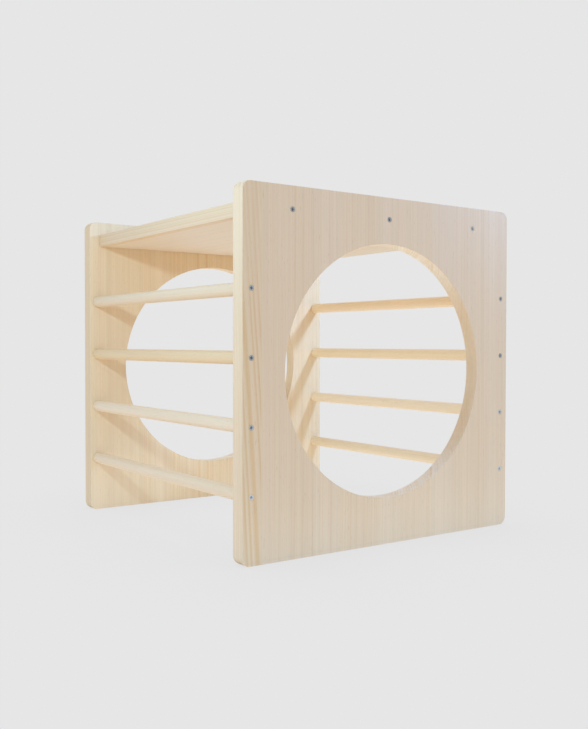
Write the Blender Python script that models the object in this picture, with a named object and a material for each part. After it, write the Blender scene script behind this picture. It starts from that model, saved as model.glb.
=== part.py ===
"""A child's climbing cube: two square pine panels, each with a round crawl hole, held apart by a flat
top board and by four dowel rungs on each side. One screw through each panel holds the end of a rung,
and three hold the end of the board.

Lengths are in metres and +Z is up. The origin is on the floor under the middle of the cube, and the
front panel faces -Y.
"""

import math

import bmesh
import bpy
from mathutils import Vector

# Panels
PANEL_WIDTH = 0.600
PANEL_HEIGHT = 0.600
PANEL_THICKNESS = 0.028
PANEL_CORNER_RADIUS = 0.015
PANEL_EDGE_ROUNDING = 0.003
PANEL_SPAN = 0.567  # clear distance between the two panels
CRAWL_HOLE_DIAMETER = 0.438

# Rungs
RUNG_DIAMETER = 0.022
RUNG_SPACING = 0.1085  # also the height of the lowest rung's axis
RUNG_INSET = 0.017  # from a panel's side edge to the rung's axis
RUNG_END_CHAMFER = 0.0008

# Top board
BOARD_THICKNESS = 0.025
BOARD_SIDE_MARGIN = 0.022  # from a panel's side edge to the board's
BOARD_DROP = 0.0255  # from a panel's top edge to the board's upper face
BOARD_EDGE_ROUNDING = 0.002
BOARD_SCREW_MARGIN = 0.073  # from the board's side edge to its outer screws

# Countersunk wood screws
SCREW_LENGTH = 0.070
SCREW_DIAMETER = 0.0045
SCREW_HEAD_DIAMETER = 0.0088
SCREW_HEAD_RIM = 0.0005
SCREW_POINT_LENGTH = 0.007
SCREW_SINK = 0.0002  # from a panel's face down to the head
RECESS_SPAN = 0.0046
RECESS_WIDTH = 0.0013
RECESS_DEPTH = 0.0024
RECESS_FLOOR_SHARE = 0.4  # size of the recess at its floor, as a share of its mouth

# Fits and cuts
SEAT_GAP = 0.0003  # between a piece and what it seats on
CUT_OVERRUN = 0.004  # how far a cutter runs past the face it cuts
WELD_DISTANCE = 0.000001

# Steps in round shapes
HOLE_STEPS = 72
CORNER_STEPS = 6
ROUNDING_STEPS = 3
RUNG_STEPS = 28
SCREW_STEPS = 16

# Sizes and places that follow from those above
PANEL_FACE_DISTANCE = PANEL_SPAN / 2 + PANEL_THICKNESS  # from the middle to a panel's outer face
RUNG_DISTANCE = PANEL_WIDTH / 2 - RUNG_INSET  # from the middle to a rung's axis
BOARD_WIDTH = PANEL_WIDTH - 2 * BOARD_SIDE_MARGIN
BOARD_LEVEL = PANEL_HEIGHT - BOARD_DROP - BOARD_THICKNESS / 2  # height of the board's middle
SPANNING_LENGTH = PANEL_SPAN - 2 * SEAT_GAP  # of the rungs and the board
BORE_RADIUS = SCREW_DIAMETER / 2 + SEAT_GAP
END_BORE_DEPTH = SCREW_LENGTH + SCREW_SINK - PANEL_THICKNESS  # in the end of a rung or the board

QUARTER_TURN = math.radians(90)
HALF_TURN = math.radians(180)
ARRIS_ANGLE = math.radians(40)  # edges that turn more than this are sharp


def clear_scene():
    for old in list(bpy.data.objects):
        bpy.data.objects.remove(old)


def surface(name, colour, roughness, metallic=0):
    material = bpy.data.materials.new(name)
    material.use_nodes = True
    shader = material.node_tree.nodes["Principled BSDF"]
    shader.inputs["Base Color"].default_value = (*colour, 1)
    shader.inputs["Roughness"].default_value = roughness
    shader.inputs["Metallic"].default_value = metallic
    material.diffuse_color = (*colour, 1)
    return material


def add_object(name, data, location=(0, 0, 0), rotation=(0, 0, 0), parent=None):
    added = bpy.data.objects.new(name, data)
    bpy.context.collection.objects.link(added)
    added.location = location
    added.rotation_euler = rotation
    added.parent = parent
    return added


def add_cutter(name, mesh, location=(0, 0, 0), rotation=(0, 0, 0)):
    """An object that only cuts others and is no piece of the cube."""
    cutter = add_object(name, mesh, location, rotation)
    cutter.hide_render = True
    cutter.display_type = "WIRE"
    return cutter


def cut(blank, cutter):
    modifier = blank.modifiers.new(cutter.name, "BOOLEAN")
    modifier.operation = "DIFFERENCE"
    modifier.solver = "EXACT"
    modifier.object = cutter


def ease_edges(blank, radius):
    modifier = blank.modifiers.new("eased edges", "BEVEL")
    modifier.width = radius
    modifier.segments = ROUNDING_STEPS
    modifier.limit_method = "ANGLE"
    modifier.angle_limit = ARRIS_ANGLE


def shade(mesh):
    """Shade a mesh smooth, but for its arrises."""
    mesh.shade_smooth()
    mesh.set_sharp_from_angle(angle=ARRIS_ANGLE)


def shade_flats_flat(piece):
    """Keep a piece's rounded edges from shading the flat faces beside them."""
    modifier = piece.modifiers.new("flat faces", "WEIGHTED_NORMAL")
    modifier.keep_sharp = True


def finished_mesh(blank, material):
    """Apply a blank's modifiers. The blank and its cutters are then taken away."""
    graph = bpy.context.evaluated_depsgraph_get()
    mesh = bpy.data.meshes.new_from_object(blank.evaluated_get(graph))
    mesh.name = blank.name
    cutters = [modifier.object for modifier in blank.modifiers if modifier.type == "BOOLEAN"]
    for spent in [blank, *cutters]:
        bpy.data.objects.remove(spent)
    shade(mesh)
    mesh.materials.clear()
    mesh.materials.append(material)
    return mesh


def mesh_from(name, shape):
    bmesh.ops.recalc_face_normals(shape, faces=shape.faces)
    mesh = bpy.data.meshes.new(name)
    shape.to_mesh(mesh)
    shape.free()
    return mesh


def turned_solid(name, profile, steps):
    """Turn a profile of (radius, height) points about Z. The profile starts and ends on the axis."""
    shape = bmesh.new()
    points = [shape.verts.new((radius, 0, height)) for radius, height in profile]
    for start, end in zip(points, points[1:]):
        shape.edges.new((start, end))
    bmesh.ops.spin(
        shape,
        geom=shape.verts[:] + shape.edges[:],
        cent=(0, 0, 0),
        axis=(0, 0, 1),
        angle=math.tau,
        steps=steps,
        use_merge=True,
    )
    bmesh.ops.remove_doubles(shape, verts=shape.verts, dist=WELD_DISTANCE)
    return mesh_from(name, shape)


def cylinder(name, radius, bottom, top, steps):
    return turned_solid(name, [(0, top), (radius, top), (radius, bottom), (0, bottom)], steps)


def slab(name, outline, bottom, top, bottom_share=1):
    """Extrude an outline of (x, y) points from one height down to another, where it may be smaller."""
    shape = bmesh.new()
    face = shape.faces.new([shape.verts.new((x, y, top)) for x, y in outline])
    extruded = bmesh.ops.extrude_face_region(shape, geom=[face])["geom"]
    lowered = [part for part in extruded if isinstance(part, bmesh.types.BMVert)]
    bmesh.ops.translate(shape, verts=lowered, vec=(0, 0, bottom - top))
    bmesh.ops.scale(shape, verts=lowered, vec=(bottom_share, bottom_share, 1))
    return mesh_from(name, shape)


def rounded_rectangle(width, height, radius):
    """Outline about the origin, anticlockwise, with an arc at each corner."""
    outline = []
    for turn, (across, up) in enumerate(((1, 1), (-1, 1), (-1, -1), (1, -1))):
        centre = Vector((across * (width / 2 - radius), up * (height / 2 - radius)))
        for step in range(CORNER_STEPS + 1):
            angle = QUARTER_TURN * (turn + step / CORNER_STEPS)
            outline.append(centre + radius * Vector((math.cos(angle), math.sin(angle))))
    return outline


def cross(span, width):
    """Outline of an upright cross about the origin, anticlockwise."""
    reach, half = span / 2, width / 2
    outline = []
    for turn in range(4):
        cosine, sine = math.cos(QUARTER_TURN * turn), math.sin(QUARTER_TURN * turn)
        for x, y in ((reach, -half), (reach, half), (half, half)):
            outline.append((x * cosine - y * sine, x * sine + y * cosine))
    return outline


def rung_places():
    """Name, x and height of each rung's axis. The board is the next step up from the last rungs."""
    count = int(BOARD_LEVEL / RUNG_SPACING) - 1
    return [
        (f"{side}_rung_{number}", across, RUNG_SPACING * number)
        for side, across in (("left", -RUNG_DISTANCE), ("right", RUNG_DISTANCE))
        for number in range(1, count + 1)
    ]


def board_screw_places():
    """Name, x and height of each screw into an end of the board."""
    outer = BOARD_WIDTH / 2 - BOARD_SCREW_MARGIN
    return [
        (f"board_{side}", across, BOARD_LEVEL)
        for side, across in (("left", -outer), ("middle", 0), ("right", outer))
    ]


def panel_mesh(pine):
    """Panel whose outer face is at height 0 about the origin, with its screws' seats cut into it."""
    outline = rounded_rectangle(PANEL_WIDTH, PANEL_HEIGHT, PANEL_CORNER_RADIUS)
    blank = add_object("panel", slab("panel", outline, -PANEL_THICKNESS, 0))
    below = -(PANEL_THICKNESS + CUT_OVERRUN)
    hole = cylinder("crawl_hole", CRAWL_HOLE_DIAMETER / 2, below, CUT_OVERRUN, HOLE_STEPS)
    cut(blank, add_cutter("crawl_hole", hole))
    ease_edges(blank, PANEL_EDGE_ROUNDING)
    seat = screw_seat_mesh(below)
    for name, across, height in rung_places() + board_screw_places():
        cut(blank, add_cutter(f"{name}_seat", seat, (across, height - PANEL_HEIGHT / 2, 0)))
    return finished_mesh(blank, pine)


def screw_seat_mesh(below):
    """Countersunk clearance bore for a screw, from over a panel's outer face to below its inner one."""
    head = SCREW_HEAD_DIAMETER / 2 + SEAT_GAP
    cone_top = -(SCREW_SINK + SCREW_HEAD_RIM)
    profile = [
        (0, CUT_OVERRUN),
        (head, CUT_OVERRUN),
        (head, cone_top),
        (BORE_RADIUS, cone_top - (head - BORE_RADIUS)),
        (BORE_RADIUS, below),
        (0, below),
    ]
    return turned_solid("screw_seat", profile, SCREW_STEPS)


def screw_mesh(steel):
    """Countersunk screw with a cross recess. The middle of its head is the origin, its point is down."""
    head, shank = SCREW_HEAD_DIAMETER / 2, SCREW_DIAMETER / 2
    profile = [
        (0, 0),
        (head, 0),
        (head, -SCREW_HEAD_RIM),
        (shank, -SCREW_HEAD_RIM - (head - shank)),
        (shank, -(SCREW_LENGTH - SCREW_POINT_LENGTH)),
        (0, -SCREW_LENGTH),
    ]
    blank = add_object("screw", turned_solid("screw", profile, SCREW_STEPS))
    cut(blank, add_cutter("recess", recess_mesh()))
    return finished_mesh(blank, steel)


def recess_mesh():
    """Tapered cross. It has the recess's size at height 0 and goes on widening above it."""
    widening = (1 - RECESS_FLOOR_SHARE) / RECESS_DEPTH
    top_share = 1 + widening * CUT_OVERRUN
    outline = cross(RECESS_SPAN * top_share, RECESS_WIDTH * top_share)
    return slab("recess", outline, -RECESS_DEPTH, CUT_OVERRUN, RECESS_FLOOR_SHARE / top_share)


def rung_mesh(pine):
    """Dowel along Z about the origin, with a pilot bore and a chamfer at each end."""
    radius, end = RUNG_DIAMETER / 2, SPANNING_LENGTH / 2
    upper = [
        (0, end - END_BORE_DEPTH),
        (BORE_RADIUS, end - END_BORE_DEPTH),
        (BORE_RADIUS, end),
        (radius - RUNG_END_CHAMFER, end),
        (radius, end - RUNG_END_CHAMFER),
    ]
    lower = [(distance, -height) for distance, height in reversed(upper)]
    mesh = turned_solid("rung", upper + lower, RUNG_STEPS)
    shade(mesh)
    mesh.materials.append(pine)
    return mesh


def board_mesh(pine):
    """Board about the origin, with pilot bores for its screws in both ends."""
    width, length = BOARD_WIDTH / 2, SPANNING_LENGTH / 2
    outline = [(width, length), (-width, length), (-width, -length), (width, -length)]
    blank = add_object("top_board", slab("top_board", outline, -BOARD_THICKNESS / 2, BOARD_THICKNESS / 2))
    ease_edges(blank, BOARD_EDGE_ROUNDING)
    bore = cylinder("pilot_bore", BORE_RADIUS, -END_BORE_DEPTH, CUT_OVERRUN, SCREW_STEPS)
    for outward, turn in ((-1, 0), (1, HALF_TURN)):
        for name, across, height in board_screw_places():
            mouth = (across, outward * length, height - BOARD_LEVEL)
            cut(blank, add_cutter(f"{name}_bore", bore, mouth, (QUARTER_TURN, 0, turn)))
    return finished_mesh(blank, pine)


def build_side(side, outward, turn, panel, screw):
    """Panel and screws on an empty at the foot of the panel's outer face. The empty's Z points outward."""
    base = add_object(f"{side}_side", None, (0, outward * PANEL_FACE_DISTANCE, 0), (QUARTER_TURN, 0, turn))
    shade_flats_flat(add_object(f"{side}_panel", panel, (0, PANEL_HEIGHT / 2, 0), parent=base))
    for name, across, height in rung_places() + board_screw_places():
        add_object(f"{side}_{name}_screw", screw, (-outward * across, height, -SCREW_SINK), parent=base)


def build():
    clear_scene()
    board_pine = surface("board_pine", (0.74, 0.61, 0.45), 0.55)
    rung_pine = surface("rung_pine", (0.76, 0.60, 0.38), 0.50)
    zinc_steel = surface("zinc_steel", (0.55, 0.57, 0.60), 0.35, metallic=1)

    panel, screw, rung = panel_mesh(board_pine), screw_mesh(zinc_steel), rung_mesh(rung_pine)
    build_side("front", -1, 0, panel, screw)
    build_side("rear", 1, HALF_TURN, panel, screw)
    for name, across, height in rung_places():
        add_object(name, rung, (across, 0, height), (QUARTER_TURN, 0, 0))
    shade_flats_flat(add_object("top_board", board_mesh(board_pine), (0, 0, BOARD_LEVEL)))


build()
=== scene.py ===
import math
import random

import bmesh
import bpy
from mathutils import Matrix, Vector


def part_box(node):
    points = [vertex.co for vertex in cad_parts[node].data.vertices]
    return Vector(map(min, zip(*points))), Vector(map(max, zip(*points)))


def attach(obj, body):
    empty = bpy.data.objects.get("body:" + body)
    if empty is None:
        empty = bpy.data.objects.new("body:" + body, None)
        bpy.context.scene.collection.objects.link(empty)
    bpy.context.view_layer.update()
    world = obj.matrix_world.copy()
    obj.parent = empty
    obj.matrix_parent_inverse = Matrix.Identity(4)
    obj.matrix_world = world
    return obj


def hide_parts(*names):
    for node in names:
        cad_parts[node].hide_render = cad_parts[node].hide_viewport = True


print("Loading the packed climbing cube")
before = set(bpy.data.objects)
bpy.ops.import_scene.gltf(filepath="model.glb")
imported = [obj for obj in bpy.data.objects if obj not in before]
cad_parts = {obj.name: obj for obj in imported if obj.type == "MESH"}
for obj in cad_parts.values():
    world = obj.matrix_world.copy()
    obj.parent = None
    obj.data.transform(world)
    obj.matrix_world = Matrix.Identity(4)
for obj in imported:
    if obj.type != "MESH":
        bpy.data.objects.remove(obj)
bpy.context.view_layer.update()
scene = bpy.context.scene
chance = random.Random(7)


# How every piece is handled while it is modelled
frontToBack = (math.radians(90), 0, 0)  # turns an upright primitive to lie along the depth
forwards, backwards = Vector((0, -1, 0)), Vector((0, 1, 0))
samePlace = 1e-5  # two places closer than this are the same one
mergeReach = 2e-6  # points closer than this become one
sameWay = 0.99  # how much of a face's normal lies along the way that it looks


def clearSelection():
    if bpy.context.object and bpy.context.object.mode == "EDIT":
        bpy.ops.object.mode_set(mode="OBJECT")
    bpy.ops.object.select_all(action="DESELECT")


def pickObjects(*pieces):
    clearSelection()
    for piece in pieces:
        piece.select_set(True)
    bpy.context.view_layer.objects.active = pieces[0]


def named(name):
    piece = bpy.context.object
    piece.name = piece.data.name = name
    bpy.ops.object.transform_apply(location=True, rotation=True, scale=True)
    return piece


def addCylinder(name, place, radius, length, steps):
    # its axis runs from the front to the back
    clearSelection()
    bpy.ops.mesh.primitive_cylinder_add(
        vertices=steps, radius=radius, depth=length, location=place, rotation=frontToBack
    )
    return named(name)


def edit(piece):
    pickObjects(piece)
    bpy.ops.object.mode_set(mode="EDIT")


def pick(kind, test):
    # in edit mode, by place or normal
    bpy.ops.mesh.select_mode(type=kind)
    bpy.ops.mesh.select_all(action="DESELECT")
    mesh = bpy.context.edit_object.data
    shape = bmesh.from_edit_mesh(mesh)
    shape.normal_update()
    for part in {"EDGE": shape.edges, "FACE": shape.faces}[kind]:
        if test(part):
            part.select_set(True)
    bmesh.update_edit_mesh(mesh)


def looksAlong(face, way):
    return face.normal.dot(way) > sameWay


def depthOf(edge):
    return abs(edge.verts[0].co.y - edge.verts[1].co.y)


def extrude(way):
    bpy.ops.mesh.extrude_region_move(TRANSFORM_OT_translate={"value": way})


def widen(share, x=0, z=0):
    # away from the line at x and z that runs from the front to the back
    bpy.ops.transform.resize(value=(share, 1, share), center_override=(x, 0, z))


def markWear():
    # the middle of the rounding that was just bevelled, where sandpaper and hands rub
    mesh = bpy.context.edit_object.data
    shape = bmesh.from_edit_mesh(mesh)
    wear = shape.verts.layers.float.get("wear") or shape.verts.layers.float.new("wear")
    for vert in shape.verts:
        if all(face.select for face in vert.link_faces):
            vert[wear] = 1
    bmesh.update_edit_mesh(mesh)


def applyModifier(piece, kind, **settings):
    pickObjects(piece)
    modifier = piece.modifiers.new(kind.lower(), kind)
    for key, value in settings.items():
        setattr(modifier, key, value)
    bpy.ops.object.modifier_apply(modifier=modifier.name)


def cutWith(piece, *cutters):
    # all the cutters go through in one cut and are then thrown away
    pickObjects(*cutters)
    if len(cutters) > 1:
        bpy.ops.object.join()
    cutter = bpy.context.object
    applyModifier(piece, "BOOLEAN", operation="DIFFERENCE", solver="EXACT", object=cutter)
    bpy.data.objects.remove(cutter)
    # a cut can leave two points in one place
    edit(piece)
    bpy.ops.mesh.select_all(action="SELECT")
    bpy.ops.mesh.remove_doubles(threshold=mergeReach)
    clearSelection()


def smooth(piece, degrees=40):
    pickObjects(piece)
    bpy.ops.object.shade_smooth_by_angle(angle=math.radians(degrees))
    applyModifier(piece, "WEIGHTED_NORMAL", keep_sharp=True)


def copyOf(piece, name, placing):
    # a copy with its own mesh, whose place is in that mesh
    copy = piece.copy()
    copy.data = piece.data.copy()
    copy.name = copy.data.name = name
    scene.collection.objects.link(copy)
    copy.data.transform(placing)
    return copy


def finishPiece(piece, node, material):
    piece.data.materials.clear()
    piece.data.materials.append(material)
    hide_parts(node)
    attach(piece, "root")


def middle(node):
    low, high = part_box(node)
    return (low + high) / 2


# Materials
signs = {"+": "ADD", "-": "SUBTRACT", "*": "MULTIPLY", "/": "DIVIDE"}


def startNodes(owner):
    owner.use_nodes = True
    tree = owner.node_tree
    tree.nodes.clear()

    def add(kind, inputs=None, **settings):
        node = tree.nodes.new("ShaderNode" + kind)
        for key, value in settings.items():
            setattr(node, key, value)
        for key, value in (inputs or {}).items():
            if isinstance(value, bpy.types.NodeSocket):
                tree.links.new(value, node.inputs[key])
            else:
                node.inputs[key].default_value = value
        return node

    def calc(operation, *values):
        # a longer sum or product is worked off from the left
        while operation in signs and len(values) > 2:
            values = (calc(operation, *values[:2]), *values[2:])
        operation = signs.get(operation, operation)
        return add("Math", dict(enumerate(values)), operation=operation).outputs[0]

    return add, calc


def startMaterial(name):
    material = bpy.data.materials.new(name)
    return (material, *startNodes(material))


def ramp(add, value, stops, interpolation="LINEAR"):
    node = add("ValToRGB", {"Fac": value})
    band = node.color_ramp
    band.interpolation = interpolation
    while len(band.elements) > 1:
        band.elements.remove(band.elements[-1])
    for count, (place, colour) in enumerate(stops):
        element = band.elements[0] if count == 0 else band.elements.new(place)
        element.position = place
        element.color = colour
    return node.outputs


def blend(add, amount, first, second, kind="MIX"):
    def full(colour):
        return colour if isinstance(colour, bpy.types.NodeSocket) else (*colour, 1)

    inputs = {0: amount, 6: full(first), 7: full(second)}
    return add("Mix", inputs, data_type="RGBA", blend_type=kind).outputs[2]


def noise(add, vector, stretch, detail=2.0, roughness=0.5, shift=(0, 0, 0)):
    moved = add("Mapping", {"Vector": vector, "Location": shift, "Scale": stretch}).outputs[0]
    inputs = {"Vector": moved, "Scale": 1.0, "Detail": detail, "Roughness": roughness}
    return add("TexNoise", inputs).outputs["Fac"]


def lineNoise(add, where, detail):
    # the same along a single line
    inputs = {"W": where, "Scale": 1.0, "Detail": detail}
    return add("TexNoise", inputs, noise_dimensions="1D").outputs["Fac"]


def between(add, value, limits, kind="SMOOTHSTEP"):
    # 0 up to the first limit, and 1 from the second one on
    inputs = {"Value": value, "From Min": limits[0], "From Max": limits[1]}
    return add("MapRange", inputs, interpolation_type=kind).outputs[0]


def weighed(calc, start, weights, parts):
    # the start, and on top of it each part times its weight
    for name, weight in weights.items():
        start = calc("+", start, calc("*", parts[name], weight))
    return start


# What all the pine has in common
pine = dict(
    early=(0.86, 0.722, 0.524),
    late=(0.775, 0.555, 0.285),
    warm=(1.0, 0.93, 0.78),
    cool=(0.985, 1.02, 0.985),
    rosy=(1.015, 0.98, 1.015),
    canal=(0.42, 0.27, 0.14),
    # painted sheen: end grain is made paler, and the crawl hole's wall paler still
    end=(1.04, 1.07, 1.12),
    sandedEnd=(1.11, 1.25, 1.48),
    worn=(0.90, 0.81, 0.66),
    # how dark the wood is from one winter to the next: pale at first, then the band that ends the year
    season=[
        (0.0, 0.35),
        (0.12, 0.05),
        (0.35, 0.0),
        (0.55, 0.45),
        (0.75, 1.0),
        (0.92, 0.85),
        (1.0, 0.35),
    ],
    # how far the rings bend, in long waves and in short ones, and the height about which a stave leans
    slowBend=0.016,
    slowWave=dict(stretch=(2.2, 2.2, 1.5), detail=1.0),
    quickBend=0.0012,
    quickWave=dict(stretch=(26, 26, 6)),
    leanFrom=0.3,
    # how far the widths of the years wander, and how pale weak years and weak spells are
    wander=1.6,
    wanderPace=0.33,
    yearSeed=53.7,
    weakYear=0.25,
    spellPace=0.19,
    spellGain=1.6,
    weakSpell=-0.1,
    # how bold a stave with even rings is, how dark those are, where they fade and how far
    evenFrom=(0.5, 0.9),
    evenRings=0.85,
    fade=(0.36, 0.5),
    fadeBy=0.65,
    # how squarely wood must face its way to count as end grain, as slanting end grain and as facing up
    endFacing=(0.5, 0.95),
    slantFacing=(0.12, 0.5),
    sunFacing=(0.5, 1.0),
    # how much more end grain shows its rings, and how much less the sides do
    endRings=5.0,
    paleSides=0.0,
    # the small patterns, and how strongly each one shows
    fibreGrain=dict(stretch=(1500, 1500, 16), detail=3.0, roughness=0.6),
    fibres=0.12,
    streakGrain=dict(stretch=(150, 110, 1.4), roughness=0.55, shift=(3, 1, 0)),
    streaks=0.16,
    cloudGrain=dict(stretch=(3.1, 3.1, 1.6), shift=(7, 0, 2)),
    clouds=0.12,
    canalGrain=dict(stretch=(1100, 1100, 70), detail=1.0, shift=(0, 9, 0)),
    canalFrom=0.68,
    canalGain=9,
    canalSoftness=0.1,
    canals=0.35,
    blushGrain=dict(stretch=(95, 60, 1.1), detail=1.0, shift=(0, 4, 6)),
    # a darker spot is also redder: the powers of its red and its blue
    redPower=0.85,
    bluePower=1.25,
    # glue lines: how strongly they show, their half width, and how far two staves have to differ
    joint=0.18,
    jointReach=0.00016,
    jointStep=0.0005,
    # how pale hands have rubbed the arrises, and how the oiled surface shines
    wear=0.12,
    gloss=0.4,
    roughness=0.42,
    roughenedBy=dict(fibres=0.12, ends=0.12, wear=-0.06, late=-0.08),
    bump=0.25,
    bumpDepth=0.0004,
    raisedBy=dict(fibres=0.5, late=0.7, canals=-0.5),
    turn=(0, 0, 0),
)
centimetres = 100  # in a metre


# Pine. Its growth rings are cylinders about a pith that lies outside each stave, so faces, edges and the
# crawl hole's wall show one and the same timber. Across, deep and along are the stock's own directions.
def makePine(look):
    material, add, calc = startMaterial(look["finish"])
    if "ownGrain" in look:
        grain = add("Attribute", attribute_name=look["ownGrain"]).outputs["Vector"]
    else:
        place = add("TexCoord").outputs["Object"]
        inputs = {"Vector": place, "Location": look["shift"], "Rotation": look["turn"]}
        grain = add("Mapping", inputs).outputs[0]
    across, deep, along = add("SeparateXYZ", {"Vector": grain}).outputs

    # two tables of the staves. A ramp holds values from 0 to 1, so places are kept about 0.5
    rings, tones = [], []
    for fromLeft, pithAcross, pithDeep, lean, bold, tone, warmth, gap in look["staves"]:
        start = fromLeft / look["width"]
        rings.append((start, (0.5 + pithAcross, 0.5 + pithDeep, 0.5 + lean, bold)))
        tones.append((start, (tone, warmth, gap * centimetres, 1)))

    def lookUp(table, where):
        share = calc("+", calc("/", where, look["width"]), 0.5)
        return ramp(add, share, table, "CONSTANT")

    # what they say of this stave: where its pith lies, how it leans, how bold its rings are, its tone
    pith, bold = lookUp(rings, across)
    pithAcross, pithDeep, lean = add("SeparateXYZ", {"Vector": pith}).outputs
    if "ownGrain" in look:
        ownTone = add("Attribute", attribute_name="tone").outputs["Vector"]
    else:
        ownTone = lookUp(tones, across)["Color"]
    tone, warmth, gap = add("SeparateXYZ", {"Vector": ownTone}).outputs

    # growth rings: the way from the bent and leaning pith, counted in years
    slowBend = calc("*", calc("-", noise(add, grain, **look["slowWave"]), 0.5), look["slowBend"])
    quickBend = calc("*", calc("-", noise(add, grain, **look["quickWave"]), 0.5), look["quickBend"])
    leaning = calc("*", calc("-", lean, 0.5), calc("-", along, look["leanFrom"]))
    bent = calc("+", across, leaning, slowBend, quickBend)
    fromPith = calc("-", bent, calc("-", pithAcross, 0.5))
    underPith = calc("-", deep, calc("-", pithDeep, 0.5))
    spread = add("CombineXYZ", {"X": fromPith, "Y": underPith}).outputs[0]
    radius = add("VectorMath", {0: spread}, operation="LENGTH").outputs["Value"]
    years = calc("/", radius, calc("*", gap, 1 / centimetres))
    uneven = lineNoise(add, calc("*", years, look["wanderPace"]), 1.0)
    years = calc("+", years, calc("*", uneven, look["wander"]))
    stops = [(place, (dark, dark, dark, 1)) for place, dark in look["season"]]
    latewood = ramp(add, calc("FRACT", years), stops)["Color"]

    # strong and weak years, in strong and weak spells
    seed = calc("+", calc("FLOOR", years), calc("*", tone, look["yearSeed"]))
    vigour = add("TexWhiteNoise", {"W": seed}, noise_dimensions="1D").outputs["Value"]
    vigour = calc("+", calc("*", vigour, 1 - look["weakYear"]), look["weakYear"])
    spell = lineNoise(add, calc("*", years, look["spellPace"]), 0.0)
    spell = calc("+", calc("*", spell, look["spellGain"]), look["weakSpell"])
    strength = calc("*", vigour, spell)

    # the boldest staves have even rings, which fade towards the top of the log
    evenness = between(add, bold, look["evenFrom"], "LINEAR")
    upHigh = between(add, along, look["fade"])
    even = calc("*", evenness, look["evenRings"])
    strength = calc("+", calc("*", strength, calc("-", 1, evenness)), even)
    strength = calc("*", strength, calc("-", 1, calc("*", upHigh, evenness, look["fadeBy"])))
    late = calc("*", latewood, strength, bold)

    # end grain shows its rings more, and the sides may show them less
    normal = add("NewGeometry").outputs["Normal"]
    facing = add("Mapping", {"Vector": normal, "Rotation": look["turn"]}).outputs[0]
    facing = add("SeparateXYZ", {"Vector": facing}).outputs
    sideways, endwise = (calc("ABSOLUTE", facing[axis]) for axis in "XZ")
    ends = between(add, endwise, look["endFacing"])
    slantwise = between(add, endwise, look["slantFacing"])
    late = calc("MINIMUM", calc("*", late, calc("+", calc("*", slantwise, look["endRings"]), 1)), 1)
    late = calc("*", late, calc("-", 1, calc("*", sideways, look["paleSides"])))

    # fibres, soft streaks, clouds of tone and resin canals
    patterns = ("fibreGrain", "streakGrain", "cloudGrain", "canalGrain", "blushGrain")
    fibres, streaks, clouds, canals, blush = (noise(add, grain, **look[pattern]) for pattern in patterns)
    canals = calc("MAXIMUM", calc("-", canals, look["canalFrom"]), 0)
    canals = calc("SMOOTH_MIN", calc("*", canals, look["canalGain"]), 1, look["canalSoftness"])

    colour = blend(add, late, look["early"], look["late"])
    colour = blend(add, warmth, colour, look["warm"], "MULTIPLY")
    shade = tone
    for pattern, amount in ((streaks, "streaks"), (clouds, "clouds"), (fibres, "fibres")):
        shade = calc("+", shade, calc("*", calc("-", pattern, 0.5), look[amount]))
    red, blue = (calc("POWER", shade, look[power]) for power in ("redPower", "bluePower"))
    tint = add("CombineXYZ", {"X": red, "Y": shade, "Z": blue}).outputs[0]
    colour = blend(add, 1.0, colour, tint, "MULTIPLY")
    colour = blend(add, 1.0, colour, blend(add, blush, look["cool"], look["rosy"]), "MULTIPLY")
    colour = blend(add, calc("*", canals, look["canals"]), colour, look["canal"])

    # a glue line runs where the table has one stave a little to the left and another to the right
    if len(look["staves"]) > 1:
        steps = (-look["jointReach"], look["jointReach"])
        before, after = (lookUp(rings, calc("+", across, step))["Color"] for step in steps)
        apart = add("VectorMath", {0: before, 1: after}, operation="DISTANCE").outputs["Value"]
        joint = calc("*", calc("GREATER_THAN", apart, look["jointStep"]), look["joint"])
        colour = blend(add, joint, colour, look["canal"])

    # end grain is painted paler, a painted sheen, and the crawl hole's wall most of all; worn arrises
    # are paler too
    sanded = add("Attribute", attribute_name="sanded").outputs["Fac"]
    colour = blend(add, ends, colour, blend(add, sanded, look["end"], look["sandedEnd"]), "MULTIPLY")
    wear = add("Attribute", attribute_name="wear").outputs["Fac"]
    colour = blend(add, calc("*", wear, look["wear"]), colour, look["worn"])

    # painted shade darkens the sides and, towards the floor, the wood low down, and painted light tints
    # what looks up warmer, against the cool light from above
    if "sawnSide" in look:
        colour = blend(add, sideways, colour, look["sawnSide"], "MULTIPLY")
    if "foot" in look:
        footShade = ramp(add, calc("/", along, look["footHeight"]), look["foot"])["Color"]
        colour = blend(add, 1.0, colour, footShade, "MULTIPLY")
    if "sunned" in look:
        upwards = add("SeparateXYZ", {"Vector": normal}).outputs["Z"]
        facingUp = between(add, upwards, look["sunFacing"])
        colour = blend(add, facingUp, colour, look["sunned"], "MULTIPLY")

    # fibres and end grain are rougher, worn arrises and late wood smoother
    parts = dict(fibres=fibres, ends=ends, wear=wear, late=late, canals=canals)
    rough = weighed(calc, look["roughness"], look["roughenedBy"], parts)
    height = weighed(calc, 0.0, look["raisedBy"], parts)
    inputs = {"Height": height, "Strength": look["bump"], "Distance": look["bumpDepth"]}
    bump = add("Bump", inputs).outputs[0]
    inputs = {"Base Color": colour, "Roughness": rough, "Normal": bump}
    shader = add("BsdfPrincipled", {**inputs, "Specular IOR Level": look["gloss"]})
    add("OutputMaterial", {"Surface": shader.outputs[0]})
    return material


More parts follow.
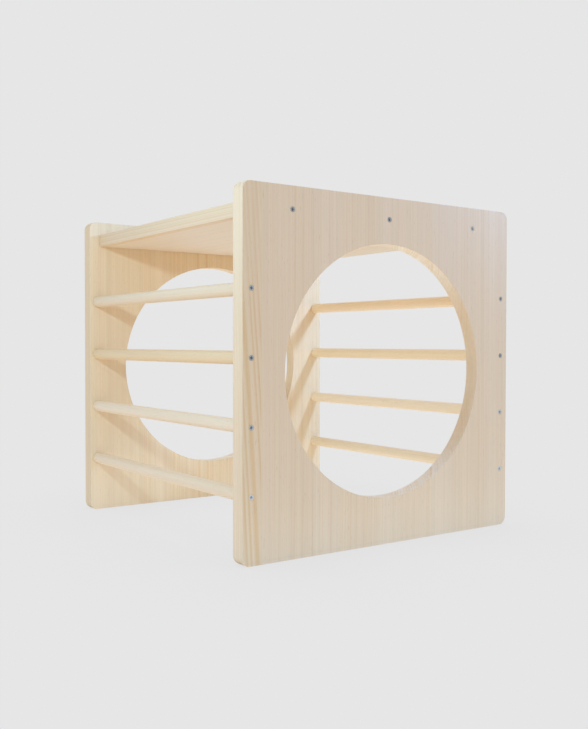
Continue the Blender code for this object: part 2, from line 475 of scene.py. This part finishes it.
# Panels
panelLook = dict(
    cornerRadius=0.015,
    cornerSteps=10,
    sideSteps=30,
    holeDiameter=0.438,
    arrisAngle=40,
    edgeRounding=0.0016,
    edgeSteps=4,
    sandedRounding=0.9,  # the part of the crawl hole's rounding that gets the wall's painted sheen
    seatHead=0.0047,
    seatBore=0.00255,
    seatDepth=0.0007,
    seatLength=0.04,
    seatOverrun=0.004,
    seatSteps=40,
    rimReach=0.0001,  # how far from its circle a point on a seat's rim may lie after the cut
    rimEasing=0.0002,
    easingSteps=2,
)
panelPine = dict(
    pine,
    width=0.6,
    # painted shade, darker towards the floor: how the wood is darkened from the foot up to the height
    # that follows
    footHeight=0.06,
    foot=[
        (0.0, (0.905, 0.915, 0.97, 1)),
        (0.06, (0.905, 0.915, 0.95, 1)),
        (0.09, (0.895, 0.907, 0.92, 1)),
        (0.15, (0.935, 0.94, 0.945, 1)),
        (0.33, (0.955, 0.96, 0.965, 1)),
        (0.6, (0.975, 0.98, 0.985, 1)),
        (1.0, (1, 1, 1, 1)),
    ],
)
frontPine = dict(
    panelPine,
    finish="frontPanelPine",
    paleSides=0.65,
    shift=(0, 0.2975, 0),  # puts the middle of the panel's thickness at zero
    # from the left, pith across, pith deep, lean, boldness, tone, warmth, width of a year
    staves=[
        (0.0, -0.370, 0.100, 0.070, 0.85, 0.99, 0.35, 0.0058),
        (0.033, -0.120, -0.110, 0.004, 0.35, 1.0, 0.17, 0.0026),
        (0.092, -0.270, 0.120, -0.006, 0.45, 0.99, 0.2, 0.0030),
        (0.134, -0.060, 0.130, 0.006, 0.40, 1.0, 0.05, 0.0028),
        (0.192, -0.190, 0.100, -0.004, 0.45, 0.99, 0.225, 0.0031),
        (0.262, 0.080, 0.140, 0.005, 0.40, 1.0, 0.1, 0.0027),
        (0.320, -0.070, 0.090, 0.003, 0.30, 0.995, 0.225, 0.0034),
        (0.402, 0.020, 0.090, -0.005, 0.27, 0.99, 0.075, 0.0055),
        (0.462, 0.075, 0.110, 0.004, 0.27, 0.99, 0.175, 0.0052),
        (0.538, 0.330, 0.100, 0.006, 0.30, 1.0, 0.1, 0.0032),
    ],
)
rearPine = dict(
    panelPine,
    finish="rearPanelPine",
    paleSides=0.4,
    # painted shade: the rear panel's sides are darker
    sawnSide=(0.925, 0.91, 0.875),
    # the rear panel's pine is more orange than the front's: painted shade, for the orange shade inside
    # the cube
    early=(0.86, 0.685, 0.448),
    late=(0.75, 0.49, 0.225),
    streaks=0.22,
    shift=(0, -0.2975, 0),
    staves=[
        (0.0, -0.180, -0.120, 0.006, 0.25, 1.005, 0.05, 0.0029),
        (0.064, -0.330, -0.100, -0.008, 0.3, 1.0, 0.1, 0.0033),
        (0.118, -0.140, -0.046, 0.005, 0.5, 1.0, 0.125, 0.0034),
        (0.186, -0.210, 0.120, -0.004, 0.42, 0.99, 0.2, 0.0046),
        (0.250, -0.032, -0.040, 0.005, 0.5, 1.0, 0.15, 0.0040),
        (0.330, -0.080, -0.130, 0.003, 0.45, 0.99, 0.2, 0.0027),
        (0.398, 0.160, 0.090, -0.005, 0.4, 1.0, 0.1, 0.0031),
        (0.470, 0.020, -0.110, 0.004, 0.4, 0.99, 0.2, 0.0030),
        (0.545, 0.350, -0.120, 0.006, 0.45, 1.0, 0.125, 0.0033),
    ],
)


def makePanel(look, screws):
    low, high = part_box("front_panel")
    outer = low.y
    centre = Vector(((low.x + high.x) / 2, outer, (low.z + high.z) / 2))
    holeRadius = look["holeDiameter"] / 2

    # the outline with its round corners, and the crawl hole with as many steps
    clearSelection()
    bpy.ops.mesh.primitive_plane_add(size=high.x - low.x, location=centre, rotation=frontToBack)
    outline = named("outline")
    edit(outline)
    bpy.ops.mesh.select_all(action="SELECT")
    bpy.ops.mesh.bevel(offset=look["cornerRadius"], segments=look["cornerSteps"], affect="VERTICES")
    bpy.ops.mesh.delete(type="ONLY_FACE")
    pick("EDGE", lambda edge: edge.calc_length() > look["cornerRadius"])
    bpy.ops.mesh.subdivide(number_cuts=look["sideSteps"] - 1)
    clearSelection()
    steps = 4 * (look["cornerSteps"] + look["sideSteps"])
    bpy.ops.mesh.primitive_circle_add(
        vertices=steps, radius=holeRadius, location=centre, rotation=frontToBack
    )
    panel = named("frontPanel")
    pickObjects(panel, outline)
    bpy.ops.object.join()

    # bridged to one face, which is then given its thickness and rounded along every arris
    edit(panel)
    bpy.ops.mesh.select_all(action="SELECT")
    bpy.ops.mesh.bridge_edge_loops()
    bpy.ops.mesh.select_all(action="SELECT")
    extrude(backwards * (high.y - low.y))
    bpy.ops.mesh.select_all(action="SELECT")
    bpy.ops.mesh.normals_make_consistent(inside=False)
    bpy.ops.mesh.select_mode(type="EDGE")
    bpy.ops.mesh.select_all(action="DESELECT")
    bpy.ops.mesh.edges_select_sharp(sharpness=math.radians(look["arrisAngle"]))
    bpy.ops.mesh.bevel(offset=look["edgeRounding"], segments=look["edgeSteps"])
    markWear()
    cutSeats(panel, look, outer, screws)
    smooth(panel)

    # the crawl hole's wall is marked, because it gets a paler painted sheen than the other end grain
    sanded = panel.data.attributes.new("sanded", "FLOAT", "POINT")
    reach = holeRadius + look["edgeRounding"] * look["sandedRounding"]
    for vert, value in zip(panel.data.vertices, sanded.data):
        value.value = 1.0 if math.hypot(vert.co.x - centre.x, vert.co.z - centre.z) < reach else 0.0
    return panel


def cutSeats(panel, look, outer, screws):
    # a seat for each screw: the bore, then the cone for its head, which runs out of the face
    cone = look["seatHead"] - look["seatBore"]
    inwards = outer + look["seatDepth"] + cone + look["seatLength"] / 2
    seat = addCylinder(
        "screwSeat", (0, inwards, 0), look["seatBore"], look["seatLength"], look["seatSteps"]
    )
    edit(seat)
    pick("FACE", lambda face: looksAlong(face, forwards))
    extrude(forwards * cone)
    widen(look["seatHead"] / look["seatBore"])
    extrude(forwards * look["seatOverrun"])
    clearSelection()
    places = [Matrix.Translation((screw.x, 0, screw.z)) for screw in screws]
    seats = [copyOf(seat, "screwSeatCopy", place) for place in places]
    bpy.data.objects.remove(seat)
    cutWith(panel, *seats)

    # the sharp rim of every seat is eased
    def onRim(vert, screw):
        away = math.hypot(vert.co.x - screw.x, vert.co.z - screw.z)
        return abs(vert.co.y - outer) < samePlace and abs(away - look["seatHead"]) < look["rimReach"]

    edit(panel)
    pick("EDGE", lambda edge: any(all(onRim(vert, screw) for vert in edge.verts) for screw in screws))
    bpy.ops.mesh.bevel(offset=look["rimEasing"], segments=look["easingSteps"])


print("Modelling the panels")
screwNodes = sorted(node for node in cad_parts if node.endswith("_screw"))
frontScrews = [node for node in screwNodes if node.startswith("front")]
frontPanel = makePanel(panelLook, [middle(node) for node in frontScrews])
halfTurn = Matrix.Rotation(math.pi, 4, "Z")
rearPanel = copyOf(frontPanel, "rearPanel", halfTurn)
finishPiece(frontPanel, "front_panel", makePine(frontPine))
finishPiece(rearPanel, "rear_panel", makePine(rearPine))


# Top board, which lies between the panels. Its grain runs from panel to panel
boardLook = dict(
    edgeRounding=0.002,
    edgeSteps=4,
    boreRadius=0.00255,
    boreDepth=0.0422,
    boreSteps=32,
)
boardPine = dict(
    pine,
    finish="topBoardPine",
    early=(0.885, 0.785, 0.622),
    late=(0.795, 0.585, 0.35),
    # painted shade: the board's sides are darker
    sawnSide=(0.965, 0.955, 0.95),
    # painted light: the board's top is tinted warmer, against the cool light from above
    sunned=(0.985, 0.915, 0.80),
    width=0.556,
    turn=(math.radians(90), 0, 0),
    shift=(0, 0.562, 0),
    leanFrom=0.0,
    staves=[
        (0.0, -0.262, -0.075, 0.004, 0.75, 0.93, 1.0, 0.0034),
        (0.014, -0.330, -0.080, 0.006, 0.5, 1.01, 0.12, 0.0031),
        (0.082, -0.120, -0.110, -0.005, 0.45, 1.0, 0.1, 0.0028),
        (0.148, -0.210, 0.120, 0.004, 0.5, 0.99, 0.2, 0.0032),
        (0.214, 0.050, -0.120, -0.006, 0.45, 1.0, 0.125, 0.0029),
        (0.292, -0.060, -0.100, 0.005, 0.5, 0.99, 0.175, 0.0033),
        (0.360, 0.180, 0.110, 0.004, 0.45, 1.0, 0.1, 0.0028),
        (0.434, 0.090, -0.130, -0.004, 0.5, 0.99, 0.2, 0.0030),
        (0.498, 0.310, -0.090, 0.006, 0.45, 1.0, 0.15, 0.0031),
    ],
)


def makeBoard(look, screws):
    low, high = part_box("top_board")
    clearSelection()
    bpy.ops.mesh.primitive_cube_add(size=1, location=(low + high) / 2, scale=high - low)
    board = named("topBoard")
    edit(board)
    bpy.ops.mesh.select_all(action="SELECT")
    bpy.ops.mesh.bevel(offset=look["edgeRounding"], segments=look["edgeSteps"])
    markWear()
    bores = []
    length = 2 * look["boreDepth"]  # half of it stands out of the board
    for screw in screws:
        place = (screw.x, low.y if screw.y < 0 else high.y, screw.z)
        bores.append(addCylinder("pilotBore", place, look["boreRadius"], length, look["boreSteps"]))
    cutWith(board, *bores)
    smooth(board)
    return board


print("Modelling the top board")
topBoard = makeBoard(boardLook, [middle(node) for node in screwNodes if "board" in node])
finishPiece(topBoard, "top_board", makePine(boardPine))


# Rungs
rungLook = dict(
    steps=64,
    endChamfer=0.0008,
    chamferSteps=2,
    boreRadius=0.00255,
    boreDepth=0.0422,
    # where in its log a rung may have been cut, and how wide its years may be, in centimetres
    fromPith=(0.018, 0.045),
    asidePith=(-0.01, 0.01),
    upLog=(-2, 2),
    years=(0.18, 0.26),
)
rungPine = dict(
    pine,
    finish="rungPine",
    width=1.0,
    ownGrain="grain",
    turn=(math.radians(90), 0, 0),
    early=(0.878, 0.745, 0.536),
    late=(0.775, 0.57, 0.33),
    # one stave, whose tone, warmth and years each rung has of its own
    staves=[(0.0, 0.0, 0.0, 0.0, 0.5, 1.0, 0.1, 0.0022)],
    evenRings=0.6,
    slowBend=0.008,
    streaks=0.12,
    clouds=0.12,
    leanFrom=0.0,
)
# every rung's tone and warmth, from the lowest one up; the right ones are painted paler and warmer,
# painted light where they stand in shade
rungToneAndLight = dict(
    left=[(0.99, 0.2), (1.03, 0.0), (0.95, 1.0), (0.94, 0.1)],
    right=[(1.08, 0.3), (1.16, 0.3), (1.11, 0.75), (1.20, 0.5)],
)


def makeRung(look, node):
    low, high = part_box(node)
    radius = (high.x - low.x) / 2
    rung = addCylinder("leftRung1", (low + high) / 2, radius, high.y - low.y, look["steps"])
    edit(rung)
    pick("EDGE", lambda edge: depthOf(edge) < samePlace)
    bpy.ops.mesh.bevel(offset=look["endChamfer"], segments=look["chamferSteps"])
    markWear()
    for way in (forwards, backwards):
        pick("FACE", lambda face: looksAlong(face, way))
        bpy.ops.mesh.inset(thickness=radius - look["endChamfer"] - look["boreRadius"])
        extrude(-way * look["boreDepth"])
    smooth(rung)
    return rung


def giveGrain(look, rung, axis, tone, warmth):
    # each rung is turned from another place in the log, and its years widen and narrow
    turn = Matrix.Rotation(chance.uniform(0, math.tau), 3, "Z")
    cutFrom = Vector([chance.uniform(*look[key]) for key in ("fromPith", "asidePith", "upLog")])
    grain = rung.data.attributes.new("grain", "FLOAT_VECTOR", "POINT")
    for vert, value in zip(rung.data.vertices, grain.data):
        place = vert.co - axis
        value.vector = turn @ Vector((place.x, place.z, place.y)) + cutFrom
    # its tone and warmth, which on the right rungs are painted light
    ownTone = rung.data.attributes.new("tone", "FLOAT_VECTOR", "POINT")
    for value in ownTone.data:
        value.vector = (tone, warmth, chance.uniform(*look["years"]))


print("Modelling the rungs")
rungNodes = sorted(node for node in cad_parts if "rung" in node and node not in screwNodes)
firstRung = makeRung(rungLook, rungNodes[0])
rungs = {rungNodes[0]: firstRung}
for node in rungNodes[1:]:
    side, _, number = node.split("_")
    away = Matrix.Translation(middle(node) - middle(rungNodes[0]))
    rungs[node] = copyOf(firstRung, f"{side}Rung{number}", away)
rungMaterial = makePine(rungPine)
for node, rung in rungs.items():
    side, _, number = node.split("_")
    giveGrain(rungLook, rung, middle(node), *rungToneAndLight[side][int(number) - 1])
    finishPiece(rung, node, rungMaterial)


# Countersunk wood screws
screwLook = dict(
    steps=40,
    rim=0.0005,
    rimEasing=0.00012,
    shankDiameter=0.0045,
    pointLength=0.007,
    # shares of the point's length, each with the share of the shank's width at its end
    pointTaper=[(0.96, 0.12), (0.04, 0.02)],
    recessSpan=0.0046,
    recessWidth=0.0013,
    recessDepth=0.0024,
    recessFloor=0.4,
    recessOverrun=0.001,
    recessEasing=0.00018,
    easingSteps=2,
    smoothAngle=30,
    shine=(0.85, 1.4),  # of the screws whose painted reflection isn't listed, which differ at random
)
steelLook = dict(
    finish="zincSteel",
    zinc=(0.50, 0.535, 0.565),
    dull=(0.38, 0.41, 0.44),
    # the colour of the recess, which is painted shade
    hollow=(0.31, 0.34, 0.37),
    clouds=dict(stretch=(700, 700, 700), detail=3.0, roughness=0.6),
    grit=dict(stretch=(5200, 5200, 5200), roughness=0.6),
    roughness=0.22,
    roughenedBy=dict(clouds=0.22, grit=0.08, hollow=0.2),
    bump=0.15,
    bumpDepth=0.00005,
)


def makeSteel(look):
    material, add, calc = startMaterial(look["finish"])
    place = add("TexCoord").outputs["Object"]
    clouds = noise(add, place, **look["clouds"])
    grit = noise(add, place, **look["grit"])
    hollow = add("Attribute", attribute_name="hollow").outputs["Fac"]
    colour = blend(add, clouds, look["zinc"], look["dull"])
    # painted shade darkens the recess
    colour = blend(add, hollow, colour, look["hollow"])
    # painted reflection scales the front screws' brightness
    shine = add("Attribute", attribute_name="shine").outputs["Fac"]
    shine = add("CombineXYZ", {"X": shine, "Y": shine, "Z": shine}).outputs[0]
    colour = blend(add, 1.0, colour, shine, "MULTIPLY")
    parts = dict(clouds=clouds, grit=grit, hollow=hollow)
    rough = weighed(calc, look["roughness"], look["roughenedBy"], parts)
    inputs = {"Height": grit, "Strength": look["bump"], "Distance": look["bumpDepth"]}
    bump = add("Bump", inputs).outputs[0]
    inputs = {"Base Color": colour, "Roughness": rough, "Normal": bump}
    shader = add("BsdfPrincipled", {**inputs, "Metallic": 1.0})
    add("OutputMaterial", {"Surface": shader.outputs[0]})
    return material


# painted reflection: how bright the front screws are in the photograph, standing in for the light that
# each one mirrors
paintedScrewReflection = dict(
    frontBoardLeftScrew=1.0,
    frontBoardMiddleScrew=0.95,
    frontBoardRightScrew=1.3,
    frontLeftRung4Screw=1.15,
    frontLeftRung3Screw=1.05,
    frontLeftRung2Screw=1.25,
    frontLeftRung1Screw=1.7,
    frontRightRung4Screw=1.1,
    frontRightRung3Screw=1.0,
    frontRightRung2Screw=1.35,
    frontRightRung1Screw=1.6,
)


def makeScrew(look, node):
    low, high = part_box(node)
    head = (high.x - low.x) / 2
    shank = look["shankDiameter"] / 2
    x, z = (low.x + high.x) / 2, (low.z + high.z) / 2
    screw = addCylinder("screw", (x, low.y + look["rim"] / 2, z), head, look["rim"], look["steps"])
    edit(screw)
    pick("FACE", lambda face: looksAlong(face, backwards))

    def grow(length, fromRadius, toRadius):
        extrude(backwards * length)
        widen(toRadius / fromRadius, x, z)

    cone = head - shank
    grow(cone, head, shank)
    grow(high.y - low.y - look["rim"] - cone - look["pointLength"], shank, shank)
    start = 1.0
    for length, end in look["pointTaper"]:
        grow(look["pointLength"] * length, shank * start, shank * end)
        start = end
    pick("EDGE", lambda edge: all(abs(vert.co.y - low.y) < samePlace for vert in edge.verts))
    bpy.ops.mesh.bevel(offset=look["rimEasing"], segments=look["easingSteps"])
    cutRecess(screw, look, x, low.y, z)
    smooth(screw, look["smoothAngle"])
    return screw


def cutRecess(screw, look, x, top, z):
    # the cross recess: a small post that grows four arms, narrower at its floor
    width, span, depth = look["recessWidth"], look["recessSpan"], look["recessDepth"]
    middleLine = Vector((x, 0, z))
    clearSelection()
    place = (x, top + depth / 2, z)
    bpy.ops.mesh.primitive_cube_add(size=1, location=place, scale=(width, depth, width))
    recess = named("recess")
    edit(recess)
    for side in (Vector((1, 0, 0)), Vector((-1, 0, 0)), Vector((0, 0, 1)), Vector((0, 0, -1))):
        def onPost(face):
            # not one that an arm has already
            return (face.calc_center_median() - middleLine).dot(side) < width

        pick("FACE", lambda face: looksAlong(face, side) and onPost(face))
        extrude(side * (span - width) / 2)
    pick("EDGE", lambda edge: depthOf(edge) > samePlace)
    bpy.ops.mesh.bevel(offset=look["recessEasing"], segments=look["easingSteps"])
    pick("FACE", lambda face: looksAlong(face, backwards))
    widen(look["recessFloor"], x, z)
    # its slope goes on a little way out of the head
    pick("FACE", lambda face: looksAlong(face, forwards))
    extrude(forwards * look["recessOverrun"])
    widen(1 + (1 - look["recessFloor"]) * look["recessOverrun"] / depth, x, z)
    cutWith(screw, recess)

    # what lies in the recess is marked: its colour there is painted shade, and it is rougher
    hollow = screw.data.attributes.new("hollow", "FLOAT", "POINT")
    for vert, value in zip(screw.data.vertices, hollow.data):
        aside = math.hypot(vert.co.x - x, vert.co.z - z)
        inwards = vert.co.y - top
        inside = aside < span / 2 + samePlace and samePlace < inwards < depth + samePlace
        value.value = 1.0 if inside else 0.0


def giveShine(screw, shine):
    # each screw's brightness: painted reflection on the front screws, a random tone on the others
    attribute = screw.data.attributes.new("shine", "FLOAT", "POINT")
    for value in attribute.data:
        value.value = shine


print("Modelling the screws")
firstScrew = makeScrew(screwLook, frontScrews[0])
screwMaterial = makeSteel(steelLook)
start = middle(frontScrews[0])
for node in screwNodes:
    words = node.split("_")
    name = words[0] + "".join(word.capitalize() for word in words[1:])
    place = middle(node)
    facing = halfTurn if place.y > 0 else Matrix.Identity(4)
    driven = Matrix.Rotation(chance.uniform(0, math.tau), 4, "Y")
    away = Matrix.Translation(place) @ facing @ driven @ Matrix.Translation(-start)
    screw = copyOf(firstScrew, name, away)
    giveShine(screw, paintedScrewReflection.get(name, chance.uniform(*screwLook["shine"])))
    finishPiece(screw, node, screwMaterial)
bpy.data.objects.remove(firstScrew)


# Studio
studio = dict(
    paper=0.791,
    # the sky's soft lights: where each one comes from, and its colour
    sky=[
        ((0, -0.707, 0.707), (0.395, 0.585, 0.85)),
        ((0, 0, 1), (0.565, 0.375, 0.21)),
        ((0, 1, 0), (0.50, 0.66, 0.95)),
        ((1, 0, 0), (0.2, 0.25, 0.35)),
    ],
    floorColour=0.80,
    # how the ground gives light back: under the cube, close around it, and further off
    glowUnder=(0.47, 0.455, 0.42),
    glowNear=(0.505, 0.55, 0.625),
    glowFar=(0.325, 0.20, 0.05),
    glowReach=0.4,
    halfDepth=0.3115,
    # under the two panels the glow fades out: half their length, where they stand, and over how far
    footHalf=0.3,
    footAt=0.2975,
    footFade=(0.0, 0.014),
    # the soft shadow that is seen on the paper
    shadow=0.09,
    shadowReach=0.35,
    shadowSamples=16,
    floorSize=14,
)
# The lamps stand close, so the left and corner ones leave out the floor, which they would burn white,
# and the rear and right ones light the rear panel alone. The two coolest would leave a blue sheen on
# the board, so no surface mirrors them.
leftLamp = dict(
    name="leftLamp",
    place=(-0.98, -0.30, 0.76),
    aim=(0, 0, 0.3),
    size=0.08,
    power=3.65,
    tint=(0.473, 0.734, 1.0),
    mirrored=True,
)
rearLamp = dict(leftLamp, name="rearLamp", power=0.75)
rightLamp = dict(
    leftLamp,
    name="rightLamp",
    place=(0.52, -0.33, 0.75),
    power=5.5,
    tint=(0.284, 0.530, 1.0),
    mirrored=False,
)
cornerLamp = dict(
    rightLamp,
    name="cornerLamp",
    place=(0.40, -0.55, 0.80),
    size=0.3,
    power=0.8,
    tint=(0.177, 0.392, 1.0),
)


def seenByEye(add, calc):
    # camera, mirror and glass rays see the plain pale paper, and all others see the light itself
    rays = add("LightPath").outputs
    seen = calc("+", rays["Is Camera Ray"], rays["Is Glossy Ray"], rays["Is Transmission Ray"])
    return calc("MINIMUM", seen, 1)


def makeFloor(look):
    clearSelection()
    bpy.ops.mesh.primitive_plane_add(size=look["floorSize"])
    floor = named("studioFloor")
    material, add, calc = startMaterial("studioFloor")

    # seen by eye it is even paper with the cube's soft shadow
    openness = add("AmbientOcclusion", {"Distance": look["shadowReach"]}, samples=look["shadowSamples"])
    dark = calc("*", calc("-", 1, openness.outputs["AO"]), look["shadow"])
    bright = calc("*", look["paper"], calc("-", 1, dark))
    shown = add("Emission", {"Color": (1, 1, 1, 1), "Strength": bright}).outputs[0]

    # for all other rays it is the lit ground, whose glow fades out under the panels' feet
    x, y, _ = add("SeparateXYZ", {"Vector": add("TexCoord").outputs["Object"]}).outputs
    beyond = calc("MAXIMUM", calc("-", calc("ABSOLUTE", x), look["footHalf"]), 0)
    beside = calc("ABSOLUTE", calc("-", calc("ABSOLUTE", y), look["footAt"]))
    behind = calc("MAXIMUM", calc("-", calc("ABSOLUTE", y), look["halfDepth"]), 0)
    beyond, beside, behind = (calc("POWER", way, 2) for way in (beyond, beside, behind))
    fromFoot = calc("SQRT", calc("+", beyond, beside))
    away = calc("SQRT", calc("+", beyond, behind))
    near = calc("MAXIMUM", calc("-", 1, calc("/", away, look["glowReach"])), 0)
    around = blend(add, near, look["glowFar"], look["glowNear"])
    given = blend(add, calc("LESS_THAN", away, samePlace), around, look["glowUnder"])
    clear = between(add, fromFoot, look["footFade"])
    glow = add("Emission", {"Color": given, "Strength": clear}).outputs[0]
    lit = add("BsdfDiffuse", {"Color": (look["floorColour"],) * 3 + (1,)}).outputs[0]
    ground = add("AddShader", {0: lit, 1: glow}).outputs[0]
    surface = add("MixShader", {0: seenByEye(add, calc), 1: ground, 2: shown}).outputs[0]
    add("OutputMaterial", {"Surface": surface})
    floor.data.materials.append(material)
    return floor


def makeSky(look):
    scene.world = bpy.data.worlds.new("studioSky")
    add, calc = startNodes(scene.world)
    seen = add("TexCoord").outputs["Generated"]

    def side(towards, colour):
        facing = add("VectorMath", {0: seen, 1: towards}, operation="DOT_PRODUCT").outputs["Value"]
        strength = calc("MAXIMUM", facing, 0)
        return add("Background", {"Color": (*colour, 1), "Strength": strength}).outputs[0]

    light = side(*look["sky"][0])
    for towards, colour in look["sky"][1:]:
        light = add("AddShader", {0: light, 1: side(towards, colour)}).outputs[0]
    paper = add("Background", {"Color": (1, 1, 1, 1), "Strength": look["paper"]}).outputs[0]
    surface = add("MixShader", {0: seenByEye(add, calc), 1: light, 2: paper}).outputs[0]
    add("OutputWorld", {"Surface": surface})


def makeLamp(lamp, piece, linking):
    data = bpy.data.lights.new(lamp["name"], "AREA")
    data.shape = "DISK"
    data.size = lamp["size"]
    data.energy = lamp["power"]
    data.color = lamp["tint"]
    made = bpy.data.objects.new(lamp["name"], data)
    scene.collection.objects.link(made)
    made.location = lamp["place"]
    made.visible_glossy = lamp["mirrored"]
    made.rotation_euler = (Vector(lamp["aim"]) - made.location).to_track_quat("-Z", "Y").to_euler()
    lights = bpy.data.collections.new(lamp["name"] + "Lights")
    made.light_linking.receiver_collection = lights
    lights.objects.link(piece)
    lights.collection_objects[0].light_linking.link_state = linking


print("Setting up the studio")
studioFloor = makeFloor(studio)
makeSky(studio)
makeLamp(leftLamp, studioFloor, "EXCLUDE")
makeLamp(rearLamp, rearPanel, "INCLUDE")
makeLamp(rightLamp, rearPanel, "INCLUDE")
makeLamp(cornerLamp, studioFloor, "EXCLUDE")


# Camera, where the photographer stood
cameraLook = dict(
    place=(-1.0290, -1.4748, 0.3477),
    yaw=0.61791,
    pitch=-0.02334,
    roll=0.00158,
    lens=44.008,
    sensor=36,
)


def makeCamera(look):
    camera = bpy.data.objects.new("camera", bpy.data.cameras.new("camera"))
    scene.collection.objects.link(camera)
    camera.data.lens = look["lens"]
    camera.data.sensor_width = look["sensor"]
    yaw = Matrix.Rotation(-look["yaw"], 4, "Z")
    pitch = Matrix.Rotation(math.radians(90) + look["pitch"], 4, "X")
    roll = Matrix.Rotation(look["roll"], 4, "Z")
    camera.matrix_world = Matrix.Translation(look["place"]) @ yaw @ pitch @ roll
    scene.camera = camera


print("Placing the camera")
makeCamera(cameraLook)
scene.view_settings.view_transform = "Standard"

print("The cube is dressed")
